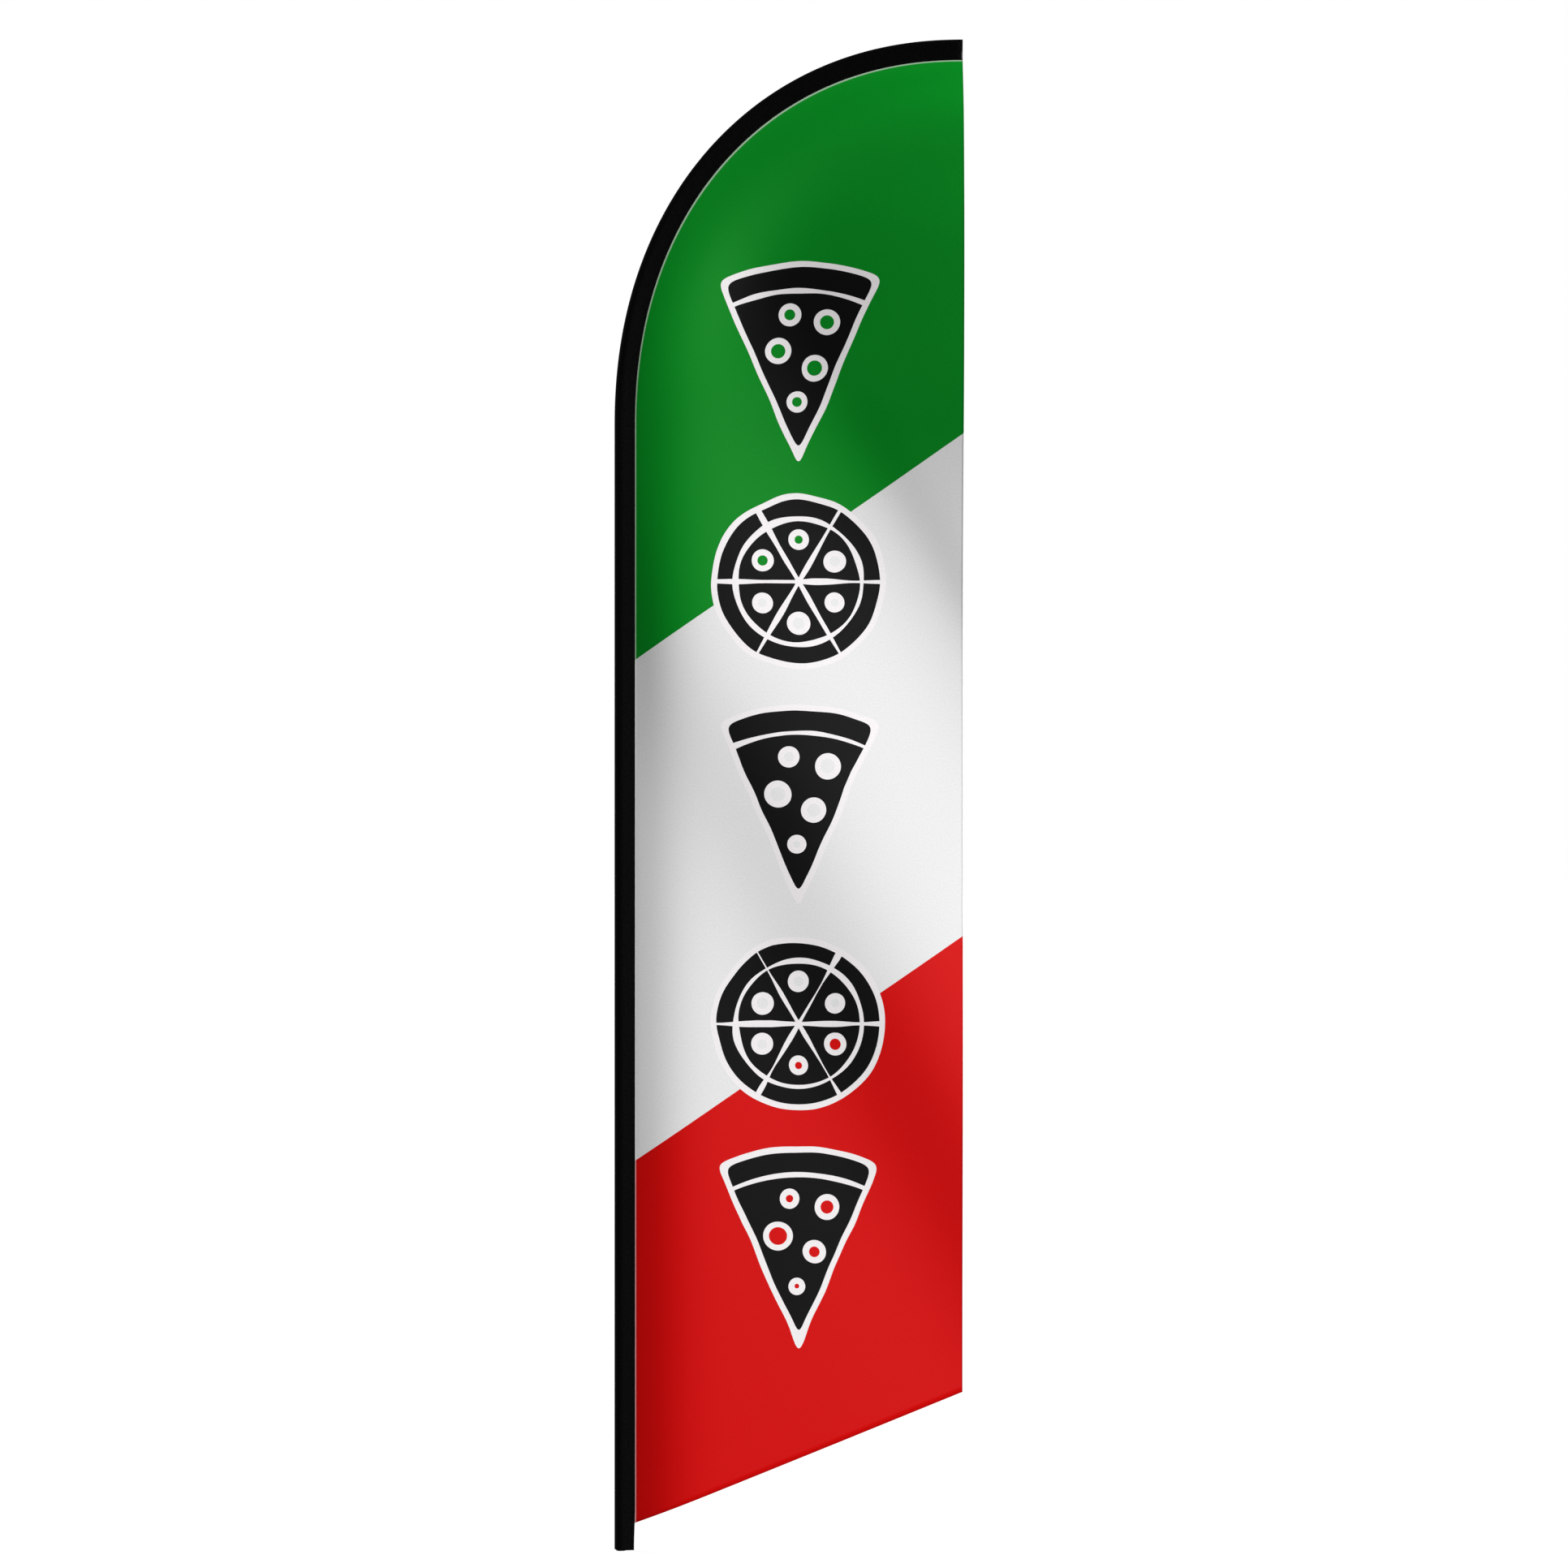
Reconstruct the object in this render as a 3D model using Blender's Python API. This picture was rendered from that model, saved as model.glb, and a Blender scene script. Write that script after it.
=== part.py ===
"""Feather flag with its pole: a cloth panel sewn to a sleeve, the pole inside, and the spindle it turns on.

The origin is the centre of the spindle's foot, on the pole's axis. +Z is up, +X runs from the pole to the
flag's free edge, and the printed front faces -Y. The flag turns about +Z, and the snap buttons slide along X.
"""

from math import asin, cos, erf, exp, hypot, pi, radians, sin, sqrt

import bmesh
import bpy
from mathutils import Matrix, Vector

# Driving dimensions, in metres
FLAG_WIDTH = 0.762        # outer edge of the sleeve to the free edge
ARCH_START = 2.460        # height at which the straight sleeve starts to bend
ARCH_RISE = 0.8464        # height of the arch above that
ARCH_POWER = 2.14         # exponent of the arch's superellipse
SLEEVE_WIDTH = 0.045      # outer edge to seam, laid flat
SLEEVE_RADIUS = 0.014     # round part of the sleeve over the tubes
TIP_RADIUS = 0.0065       # round part of the sleeve at the tip
SLEEVE_WALL = 0.001
PANEL_THICKNESS = 0.0012
TIP_PATCH_THICKNESS = 0.0015
CORNER_LOW = 0.060        # panel's corner at the pole
CORNER_FREE = 0.3446      # panel's corner at the free edge
CUFF_TOP = 0.055          # top of the doubled cuff at the sleeve's foot
GAP = 0.0003              # room kept between touching pieces

TUBE_WALL = 0.0014
LOWER_TUBE_RADIUS = 0.0127
MIDDLE_TUBE_RADIUS = LOWER_TUBE_RADIUS - TUBE_WALL - GAP
UPPER_TUBE_RADIUS = MIDDLE_TUBE_RADIUS - TUBE_WALL - GAP
TUBE_OVERLAP = 0.120      # how far each tube plugs into the one below
LOWER_TUBE_TOP = 0.850
MIDDLE_TUBE_TOP = 1.630
UPPER_TUBE_TOP = 2.380
BUTTON_BELOW_TOP = 0.028  # snap button's axis below the outer tube's rim
BUTTON_RADIUS = 0.0032
BUTTON_PROUD = 0.003

SPINDLE_RADIUS = 0.008
SPINDLE_TOP = 0.290
HUB_RADIUS = 0.0105
HUB_HEIGHT = 0.020
SOCKET_RADIUS = 0.005     # M10 socket in the hub, for a ground base's stud
SPIGOT_LENGTH = 0.006     # how far the spindle's shaft enters the hub from above

ROD_RADIUS = 0.0055
ROD_TIP_RADIUS = 0.0026
ROD_BOTTOM = UPPER_TUBE_TOP - 0.075
ROD_SPLIT = radians(38)   # arch angle at which the two rods meet
ROD_TIP_INSET = 0.007     # rod's end short of the flag's free edge

FOLD_TILT = radians(30)   # the folds run down and away from the pole, this far from upright
CLOTH_LEAN = 0.164        # slope across the cloth between its folds
FOLDS = (                 # place across the folds, half width, slope it adds, change of that along the fold
    (1.04, 0.156, -0.128, -0.20),
    (1.70, 0.057, -0.088, -0.70),
    (2.54, 1.080, 0.229, -1.01),
)
FOLD_MIDDLE = 1.2         # place along the folds where each has the slope given
TURN_BACK = (1.61, 0.172, -0.299)   # where the upper cloth turns away: place, half width, slope
BELLY = 0.0268            # how far the panel swells forward beside its seam
BELLY_REACH = 0.0976
ROOF = 0.0263             # how far the cloth under the arch falls back again
ROOF_PLACE = 0.123
ROOF_REACH = 0.101
ROOF_FROM = 2.467
ROOF_RISE = 0.56
SETTLE = 0.01             # the folds fade out over this distance from the seam
SETTLE_ROOF = 0.10        # and over this much more under the arch
ROOF_BELLY = 0.70         # share of the belly that is left under the arch

OUTER_X = -SLEEVE_RADIUS
FREE_X = OUTER_X + FLAG_WIDTH
SEAM_X = OUTER_X + SLEEVE_WIDTH
ROUND_SIDES = 32


# ---------------------------------------------------------------- helpers
def clear_scene():
    for thing in list(bpy.data.objects):
        bpy.data.objects.remove(thing, do_unlink=True)


def material(name, colour, roughness, metallic=0.0):
    finish = bpy.data.materials.new(name)
    finish.use_nodes = True
    shader = finish.node_tree.nodes["Principled BSDF"]
    shader.inputs["Base Color"].default_value = (*colour, 1)
    shader.inputs["Roughness"].default_value = roughness
    shader.inputs["Metallic"].default_value = metallic
    return finish


def finish_mesh(name, shape, finish, sharp=30):
    """Make an object of a bmesh, with its faces pointing out."""
    bmesh.ops.remove_doubles(shape, verts=shape.verts, dist=1e-6)
    bmesh.ops.recalc_face_normals(shape, faces=shape.faces)
    mesh = bpy.data.meshes.new(name)
    shape.to_mesh(mesh)
    shape.free()
    mesh.shade_smooth()
    mesh.set_sharp_from_angle(angle=radians(sharp))
    mesh.materials.append(finish)
    thing = bpy.data.objects.new(name, mesh)
    bpy.context.scene.collection.objects.link(thing)
    return thing


def turned(name, profile, finish, closed=True, sides=ROUND_SIDES):
    """Turn a profile of (radius, height) about Z. An open profile starts and ends on the axis."""
    shape = bmesh.new()
    points = [shape.verts.new((r, 0, z)) for r, z in profile]
    ends = points[1:] + points[:1] if closed else points[1:]
    edges = [shape.edges.new(pair) for pair in zip(points, ends)]
    bmesh.ops.spin(shape, geom=points + edges, cent=(0, 0, 0), axis=(0, 0, 1), angle=2 * pi,
                   steps=sides, use_merge=True)
    return finish_mesh(name, shape, finish)


def ring(name, inner, outer, low, high, finish):
    return turned(name, [(inner, low), (outer, low), (outer, high), (inner, high)], finish)


def cutter(name, radius, start, end, sides=24):
    """A round cutter from start to end, kept out of the model."""
    start, end = Vector(start), Vector(end)
    shape = bmesh.new()
    bmesh.ops.create_cone(shape, cap_ends=True, segments=sides, radius1=radius, radius2=radius,
                          depth=(end - start).length)
    turn = (end - start).to_track_quat("Z", "Y").to_matrix().to_4x4()
    bmesh.ops.transform(shape, matrix=Matrix.Translation((start + end) / 2) @ turn, verts=shape.verts)
    return helper(finish_mesh(name, shape, STEEL))


def helper(thing):
    thing.hide_render = True
    thing.display_type = "WIRE"
    return thing


def combine(thing, other, operation):
    boolean = thing.modifiers.new(other.name, "BOOLEAN")
    boolean.operation = operation
    boolean.object = other


def extruded(name, outline, low, high, finish):
    """A flat outline of (x, z) points, extruded from y = low to y = high."""
    shape = bmesh.new()
    face = shape.faces.new([shape.verts.new((x, low, z)) for x, z in outline])
    grown = bmesh.ops.extrude_face_region(shape, geom=[face])["geom"]
    moved = [v for v in grown if isinstance(v, bmesh.types.BMVert)]
    bmesh.ops.translate(shape, verts=moved, vec=(0, high - low, 0))
    return finish_mesh(name, shape, finish)


# ---------------------------------------------------------------- the flag's outline
def arch_point(angle):
    """Point (x, z) of the sleeve's outer edge: 0 where the arch starts, pi/2 at the free edge."""
    across = max(cos(angle), 0) ** (2 / ARCH_POWER)
    up = max(sin(angle), 0) ** (2 / ARCH_POWER)
    return Vector((FREE_X - FLAG_WIDTH * across, ARCH_START + ARCH_RISE * up))


def arch_inward(angle):
    """Unit normal (x, z) of the outer edge, towards the panel."""
    edge = arch_point(angle)
    across = max((FREE_X - edge.x) / FLAG_WIDTH, 0) ** (ARCH_POWER - 1) / FLAG_WIDTH
    up = max((edge.y - ARCH_START) / ARCH_RISE, 0) ** (ARCH_POWER - 1) / ARCH_RISE
    size = hypot(across, up)
    return Vector((across / size, -up / size))


def sleeve_radius(angle):
    """Radius of the sleeve's round part, which tapers along the arch."""
    return SLEEVE_RADIUS + (TIP_RADIUS - SLEEVE_RADIUS) * sin(angle) ** 1.5


def centreline(angle):
    return arch_point(angle) + arch_inward(angle) * sleeve_radius(angle)


def teardrop(radius, wall, arc_steps=10):
    """Outline of the sleeve as (distance in from the outer edge, y), round over the pole, then pointed."""
    reach = SLEEVE_WIDTH - radius
    half = asin(radius / reach)
    inner = radius - wall
    points = []
    for step in range(arc_steps + 1):
        turn = (pi / 2 - half) + (pi + 2 * half) * step / arc_steps
        points.append((radius + inner * cos(turn), inner * sin(turn)))
    points.append((SLEEVE_WIDTH - wall / sin(half), 0.0))
    return points


def ease(value):
    """A smooth step from 0 to 1."""
    value = min(max(value, 0), 1)
    return value * value * (3 - 2 * value)


def swell(x, z):
    """Depth that the folds add up to at (x, z)."""
    across = x * cos(FOLD_TILT) + z * sin(FOLD_TILT)
    along = z * cos(FOLD_TILT) - x * sin(FOLD_TILT)
    depth = CLOTH_LEAN * across
    for place, width, slope, change in FOLDS:
        here = slope * (1 + change * (along - FOLD_MIDDLE))
        depth += here * width * sqrt(pi) / 2 * erf((across - place) / width)
    place, width, slope = TURN_BACK
    part = (across - place) / width
    depth += slope * width / 2 * (part + part * erf(part) + exp(-part * part) / sqrt(pi))
    return depth / cos(FOLD_TILT)


def billow(x, z):
    """How far the panel lies behind its seam: its folds, and the belly beside the seam."""
    span, rise = FLAG_WIDTH - SLEEVE_WIDTH, ARCH_RISE - SLEEVE_WIDTH
    across = max(FREE_X - x, 0) / span
    up = min(max(z - ARCH_START, 0) / rise, 1)
    from_seam = max(1 - (across ** ARCH_POWER + up ** ARCH_POWER) ** (1 / ARCH_POWER), 0) * span
    seam_x = FREE_X - span * (1 - up ** ARCH_POWER) ** (1 / ARCH_POWER)
    under_arch = ease((z - ROOF_FROM) / ROOF_RISE)
    belly = BELLY * erf(from_seam / BELLY_REACH) * (1 - (1 - ROOF_BELLY) * under_arch)
    roof = ROOF * (erf((from_seam - ROOF_PLACE) / ROOF_REACH) + erf(ROOF_PLACE / ROOF_REACH))
    settled = 1 - exp(-from_seam / (SETTLE + SETTLE_ROOF * under_arch))
    return settled * (swell(x, z) - swell(seam_x, z)) - belly + roof * under_arch


# ---------------------------------------------------------------- the flag
def lofted_sleeve(name, stations):
    """A sleeve wall through stations, each (outer ring, inner ring) of points."""
    shape = bmesh.new()
    rings = [[[shape.verts.new(p) for p in loop] for loop in pair] for pair in stations]
    count = len(rings[0][0])
    for near, far in zip(rings, rings[1:]):
        for skin in (0, 1):
            for i in range(count):
                j = (i + 1) % count
                shape.faces.new((near[skin][i], near[skin][j], far[skin][j], far[skin][i]))
    for end in (rings[0], rings[-1]):
        for i in range(count):
            j = (i + 1) % count
            shape.faces.new((end[0][i], end[0][j], end[1][j], end[1][i]))
    return finish_mesh(name, shape, SLEEVE_CLOTH, sharp=50)


def make_sleeve():
    def straight(low_at_edge, slant):
        return [[(OUTER_X + d, y, low_at_edge - slant * d / SLEEVE_WIDTH)
                 for d, y in teardrop(SLEEVE_RADIUS, wall)] for wall in (0, SLEEVE_WALL)]

    def bent(angle):
        edge, inward = arch_point(angle), arch_inward(angle)
        return [[(edge.x + inward.x * d, y, edge.y + inward.y * d)
                 for d, y in teardrop(sleeve_radius(angle), wall)] for wall in (0, SLEEVE_WALL)]

    lofted_sleeve("sleeve_cuff", [straight(0.007, 0.0055), straight(CUFF_TOP, 0)])
    lofted_sleeve("sleeve_straight",
                  [straight(CUFF_TOP + GAP, 0), straight(1.2, 0), straight(ARCH_START - GAP, 0)])
    steps = 26
    last = pi / 2
    stations = [bent(last * i / steps) for i in range(steps + 1)]
    seam_gap = TIP_PATCH_THICKNESS + GAP
    stations[-1] = [[(x - seam_gap, y, z) for x, y, z in loop] for loop in stations[-1]]
    lofted_sleeve("sleeve_arch", stations)

    tip = arch_point(last)
    outline = [(tip.y - d, y) for d, y in teardrop(TIP_RADIUS, 0)]
    shape = bmesh.new()
    face = shape.faces.new([shape.verts.new((FREE_X, y, z)) for z, y in outline])
    grown = bmesh.ops.extrude_face_region(shape, geom=[face])["geom"]
    bmesh.ops.translate(shape, verts=[v for v in grown if isinstance(v, bmesh.types.BMVert)],
                        vec=(-TIP_PATCH_THICKNESS, 0, 0))
    finish_mesh("tip_patch", shape, WEBBING)


def make_panel(columns=24, rows=40):
    """The printed cloth: columns run up from the slanted bottom edge to the seam."""
    shape = bmesh.new()
    slope = (CORNER_FREE - CORNER_LOW) / (FREE_X - SEAM_X)
    skins = []
    for side in (-0.5, 0.5):
        skin = []
        for i in range(columns + 1):
            angle = pi / 2 * i / columns
            top = arch_point(angle) + arch_inward(angle) * (SLEEVE_WIDTH + GAP)
            bottom = CORNER_LOW + slope * (top.x - SEAM_X)
            heights = [bottom + (top.y - bottom) * j / rows for j in range(rows + 1)]
            skin.append([shape.verts.new((top.x, billow(top.x, z) + side * PANEL_THICKNESS, z))
                         for z in heights])
        skins.append(skin)
        for i in range(columns):
            for j in range(rows):
                shape.faces.new((skin[i][j], skin[i + 1][j], skin[i + 1][j + 1], skin[i][j + 1]))
    front, back = skins
    rim = [(i, 0) for i in range(columns)] + [(columns, j) for j in range(rows)]
    rim += [(i, rows) for i in range(columns, 0, -1)] + [(0, j) for j in range(rows, 0, -1)]
    for (i, j), (k, m) in zip(rim, rim[1:] + rim[:1]):
        shape.faces.new((front[i][j], front[k][m], back[k][m], back[i][j]))
    finish_mesh("flag_panel", shape, PRINTED_CLOTH, sharp=50)


# ---------------------------------------------------------------- the pole
def tube(name, radius, low, high, finish):
    return ring(name, radius - TUBE_WALL, radius, low, high, finish)


def make_tubes():
    lower = tube("pole_lower_tube", LOWER_TUBE_RADIUS, FOOT_LIP_TOP + GAP, LOWER_TUBE_TOP, ANODISED)
    middle = tube("pole_middle_tube", MIDDLE_TUBE_RADIUS, LOWER_TUBE_TOP - TUBE_OVERLAP, MIDDLE_TUBE_TOP,
                  ANODISED)
    upper = tube("pole_upper_tube", UPPER_TUBE_RADIUS, MIDDLE_TUBE_TOP - TUBE_OVERLAP, UPPER_TUBE_TOP,
                 ANODISED)
    for name, top, pair, outer in (
        ("lower", LOWER_TUBE_TOP, (lower, middle), LOWER_TUBE_RADIUS),
        ("upper", MIDDLE_TUBE_TOP, (middle, upper), MIDDLE_TUBE_RADIUS),
    ):
        height = top - BUTTON_BELOW_TOP
        hole = cutter(f"cut_{name}_button_hole", BUTTON_RADIUS + GAP, (0.003, 0, height), (0.02, 0, height))
        for wall in pair:
            combine(wall, hole, "DIFFERENCE")
        make_button(name, height, outer)


def make_button(name, height, outer):
    """A snap button whose head stands out of the tubes, and the leaf spring behind it."""
    inside = outer - 2 * TUBE_WALL - GAP
    tip = outer + BUTTON_PROUD
    collar, collar_front = 0.0042, inside - 0.0016
    back = collar_front - 0.0013
    profile = [(0, back), (collar, back), (collar, collar_front), (BUTTON_RADIUS, collar_front),
               (BUTTON_RADIUS, tip - 0.0016), (BUTTON_RADIUS * 0.8, tip - 0.0005), (0, tip)]
    button = turned(f"{name}_snap_button", profile, ZINC, closed=False, sides=20)
    button.data.transform(Matrix.Translation((0, 0, height)) @ Matrix.Rotation(pi / 2, 4, "Y"))

    width, thick, rise = 0.006, 0.0005, 0.038
    front_x = back - GAP - thick / 2
    back_x = -sqrt((inside - GAP) ** 2 - (width / 2) ** 2) + thick / 2
    middle_x, bend = (front_x + back_x) / 2, 0.002
    path = [(front_x, -0.004), (front_x, 0.004)]
    path += [(middle_x + bend * cos(pi * i / 6), rise + bend * sin(pi * i / 6)) for i in range(7)]
    path += [(back_x, 0.004), (back_x, -0.004)]
    shape = bmesh.new()
    points = [shape.verts.new((x, -width / 2, height + z)) for x, z in path]
    edges = [shape.edges.new(pair) for pair in zip(points, points[1:])]
    grown = bmesh.ops.extrude_edge_only(shape, edges=edges)["geom"]
    bmesh.ops.translate(shape, verts=[v for v in grown if isinstance(v, bmesh.types.BMVert)],
                        vec=(0, width, 0))
    spring = finish_mesh(f"{name}_button_spring", shape, STEEL)
    leaf = spring.modifiers.new("leaf", "SOLIDIFY")
    leaf.thickness = thick
    leaf.offset = 0


def rod(name, start, end, radius_at, finish, steps=26):
    """A round rod along the sleeve's centreline, between two places given as heights or arch angles."""
    points = []
    for i in range(steps + 1):
        place = start + (end - start) * i / steps
        points.append(centreline(max(place, 0)) if place > 0 else Vector((0, ARCH_START + place * ARCH_RISE)))
    curve = bpy.data.curves.new(name, "CURVE")
    curve.dimensions = "3D"
    curve.bevel_depth = 1.0
    curve.bevel_resolution = 2
    curve.use_fill_caps = True
    spline = curve.splines.new("POLY")
    spline.points.add(steps)
    for i, (spot, point) in enumerate(zip(spline.points, points)):
        spot.co = (point.x, 0, point.y, 1)
        spot.radius = radius_at(i / steps)
    curve.materials.append(finish)
    thing = bpy.data.objects.new(name, curve)
    bpy.context.scene.collection.objects.link(thing)
    return thing


def make_rods():
    seat = -(ARCH_START - ROD_BOTTOM) / ARCH_RISE
    rod("rod_lower", seat, ROD_SPLIT - 0.001, lambda part: ROD_RADIUS, GLASS_FIBRE)
    tip_start = ROD_SPLIT + 0.001
    tip_end = pi / 2 - ROD_TIP_INSET / FLAG_WIDTH
    rod("rod_tip", tip_start, tip_end,
        lambda part: 0.0045 + (ROD_TIP_RADIUS - 0.0045) * part, GLASS_FIBRE)

    ferrule_wall = 0.0009
    inner, outer = ROD_RADIUS + GAP, ROD_RADIUS + GAP + ferrule_wall
    reach, steps, sides = 0.055, 8, 16
    shape = bmesh.new()
    rings = []
    for i in range(steps + 1):
        angle = ROD_SPLIT - reach + 2 * reach * i / steps
        centre, inward = centreline(angle), arch_inward(angle)
        rings.append([[shape.verts.new((centre.x + inward.x * radius * cos(2 * pi * k / sides),
                                        radius * sin(2 * pi * k / sides),
                                        centre.y + inward.y * radius * cos(2 * pi * k / sides)))
                       for k in range(sides)] for radius in (outer, inner)])
    for near, far in zip(rings, rings[1:]):
        for skin in (0, 1):
            for k in range(sides):
                m = (k + 1) % sides
                shape.faces.new((near[skin][k], near[skin][m], far[skin][m], far[skin][k]))
    for end in (rings[0], rings[-1]):
        for k in range(sides):
            m = (k + 1) % sides
            shape.faces.new((end[0][k], end[0][m], end[1][m], end[1][k]))
    finish_mesh("rod_ferrule", shape, BRASS)

    plug = UPPER_TUBE_RADIUS - TUBE_WALL - GAP
    bore = ROD_RADIUS + GAP
    turned("rod_adapter", [
        (bore, ROD_BOTTOM + 0.005), (plug - 0.0008, ROD_BOTTOM + 0.005), (plug, ROD_BOTTOM + 0.007),
        (plug, UPPER_TUBE_TOP + GAP), (UPPER_TUBE_RADIUS, UPPER_TUBE_TOP + GAP),
        (UPPER_TUBE_RADIUS, UPPER_TUBE_TOP + 0.010), (bore + 0.0012, UPPER_TUBE_TOP + 0.016),
        (bore, UPPER_TUBE_TOP + 0.016)], NYLON)

    end = centreline(tip_end)
    cup = 0.0045
    cap = turned("tip_cap", [
        (0, 0.0005), (ROD_TIP_RADIUS + GAP, 0.0005), (ROD_TIP_RADIUS + GAP, -0.011), (cup - 0.0008, -0.011),
        (cup, -0.010), (cup, 0.001), (cup * 0.75, 0.0030), (0, 0.0038)], RUBBER, closed=False, sides=20)
    heading = (centreline(tip_end) - centreline(tip_end - 0.01)).normalized()
    turn = Vector((heading.x, 0, heading.y)).to_track_quat("Z", "Y").to_matrix().to_4x4()
    cap.data.transform(Matrix.Translation((end.x, 0, end.y)) @ turn)


# ---------------------------------------------------------------- the foot
WASHER_TOP = HUB_HEIGHT + 0.0015
FOOT_LIP_TOP = WASHER_TOP + 0.0045
FOOT_PLUG_TOP = FOOT_LIP_TOP + 0.030
BUSH_WALL = 0.0012
BUSH_BORE = SPINDLE_RADIUS + GAP
BUSH_OUTER = BUSH_BORE + BUSH_WALL
UPPER_BUSH = (0.228, 0.258)
RING_GROOVE = (0.2615, 0.2640)
EYELET_X = 0.0182
EYELET_Z = FOOT_LIP_TOP + 0.0025


def make_spindle():
    ring("spindle_hub", SOCKET_RADIUS, HUB_RADIUS, 0, HUB_HEIGHT, STEEL)
    groove, spigot = 0.0069, SOCKET_RADIUS - GAP
    seat = HUB_HEIGHT + GAP
    turned("spindle_shaft", [
        (0, HUB_HEIGHT - SPIGOT_LENGTH), (spigot, HUB_HEIGHT - SPIGOT_LENGTH), (spigot, seat),
        (SPINDLE_RADIUS, seat), (SPINDLE_RADIUS, RING_GROOVE[0]), (groove, RING_GROOVE[0]),
        (groove, RING_GROOVE[1]), (SPINDLE_RADIUS, RING_GROOVE[1]), (SPINDLE_RADIUS, SPINDLE_TOP - 0.005),
        (0.006, SPINDLE_TOP - 0.001), (0, SPINDLE_TOP)], STEEL, closed=False)
    ring("thrust_washer", BUSH_BORE, HUB_RADIUS - GAP, seat, WASHER_TOP, NYLON)

    low, thick, outer = RING_GROOVE[0] + 0.0005, 0.0015, 0.0098
    shape = bmesh.new()
    section = shape.faces.new([shape.verts.new((r, 0, z)) for r, z in (
        (groove + GAP, low), (outer, low), (outer, low + thick), (groove + GAP, low + thick))])
    bmesh.ops.spin(shape, geom=[section], cent=(0, 0, 0), axis=(0, 0, 1), angle=radians(320), steps=24)
    finish_mesh("retaining_ring", shape, STEEL)


def make_foot():
    cap_low = WASHER_TOP + GAP
    plug = LOWER_TUBE_RADIUS - TUBE_WALL - GAP
    cap = turned("foot_cap", [
        (BUSH_OUTER + GAP, cap_low), (LOWER_TUBE_RADIUS, cap_low), (LOWER_TUBE_RADIUS, FOOT_LIP_TOP),
        (plug, FOOT_LIP_TOP), (plug, FOOT_PLUG_TOP), (BUSH_OUTER + GAP, FOOT_PLUG_TOP)], NYLON)
    arm_in, arm_out, arm_top = 0.0110, 0.0205, EYELET_Z + 0.004
    beside_tube = LOWER_TUBE_RADIUS + 0.0004
    arm = extruded("foot_arm", [
        (arm_in, cap_low), (arm_out, cap_low), (arm_out, arm_top), (beside_tube, arm_top),
        (beside_tube, FOOT_LIP_TOP), (arm_in, FOOT_LIP_TOP)], 0.0018, 0.0036, NYLON)
    peg = cutter("foot_peg", 0.0017, (EYELET_X, -0.0032, EYELET_Z), (EYELET_X, 0.0030, EYELET_Z), sides=16)
    combine(cap, helper(arm), "UNION")
    combine(cap, peg, "UNION")
    collar = FOOT_PLUG_TOP + GAP
    turned("lower_bush", [
        (BUSH_BORE, cap_low), (BUSH_OUTER, cap_low), (BUSH_OUTER, collar), (plug, collar),
        (plug, collar + 0.0015), (BUSH_BORE, collar + 0.0015)], BRONZE)
    ring("upper_bush", BUSH_BORE, plug, *UPPER_BUSH, NYLON)


def make_tension_tab():
    half, inner, outer = 0.00075, 0.0140, 0.0265
    low, top = EYELET_Z - 0.0055, EYELET_Z + 0.0335
    tab = extruded("tension_tab", [(inner, low), (outer - 0.002, low), (outer, low + 0.005), (outer, top),
                                   (inner, top)], -half, half, WEBBING)
    hole = cutter("cut_tab_hole", 0.0039, (EYELET_X, -0.003, EYELET_Z), (EYELET_X, 0.003, EYELET_Z), sides=20)
    combine(tab, hole, "DIFFERENCE")
    face, lip = half + GAP, half + GAP + 0.00045
    eyelet = turned("tab_eyelet", [
        (0.0023, -lip), (0.0045, -lip), (0.0045, -face), (0.0036, -face), (0.0036, face), (0.0045, face),
        (0.0045, lip), (0.0023, lip)], BRASS, sides=20)
    eyelet.data.transform(Matrix.Translation((EYELET_X, 0, EYELET_Z)) @ Matrix.Rotation(pi / 2, 4, "X"))


clear_scene()
STEEL = material("zinc_plated_steel", (0.45, 0.46, 0.47), 0.35, 1)
ZINC = material("nickel_plated_button", (0.60, 0.60, 0.60), 0.25, 1)
ANODISED = material("anodised_tube", (0.62, 0.63, 0.65), 0.38, 1)
BRASS = material("brass", (0.70, 0.50, 0.22), 0.3, 1)
BRONZE = material("bearing_bronze", (0.48, 0.30, 0.14), 0.45, 1)
GLASS_FIBRE = material("black_glass_fibre", (0.02, 0.02, 0.022), 0.35)
NYLON = material("black_nylon", (0.025, 0.025, 0.027), 0.5)
RUBBER = material("black_rubber", (0.015, 0.015, 0.015), 0.8)
WEBBING = material("black_webbing", (0.02, 0.02, 0.02), 0.85)
SLEEVE_CLOTH = material("black_sleeve_cloth", (0.008, 0.008, 0.009), 0.6)
PRINTED_CLOTH = material("printed_polyester", (0.62, 0.10, 0.08), 0.6)

make_spindle()
make_foot()
make_tubes()
make_rods()
make_sleeve()
make_panel()
make_tension_tab()
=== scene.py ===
# %% [markdown]
# # A feather flag on its pole
# A feather flag is a tall strip of knitted polyester, printed and cut with an arched top. A black sleeve is
# sewn along its straight side and round the arch. A sectional aluminium pole and two bent glass-fibre rods
# slide up inside the sleeve and pull the cloth out like a sail, and the whole flag turns on a spindle in
# the pole's foot.
#
# The metal and moulded parts come from an exact CAD model. This script loads that model as a fixed frame,
# sews the cloth parts around it, and gives every part the finish of its real material.

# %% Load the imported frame
from math import acos, atan2, cos, erf, exp, hypot, pi, radians, sin, sqrt

import bmesh
import bpy
from mathutils import Matrix, Vector


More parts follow.
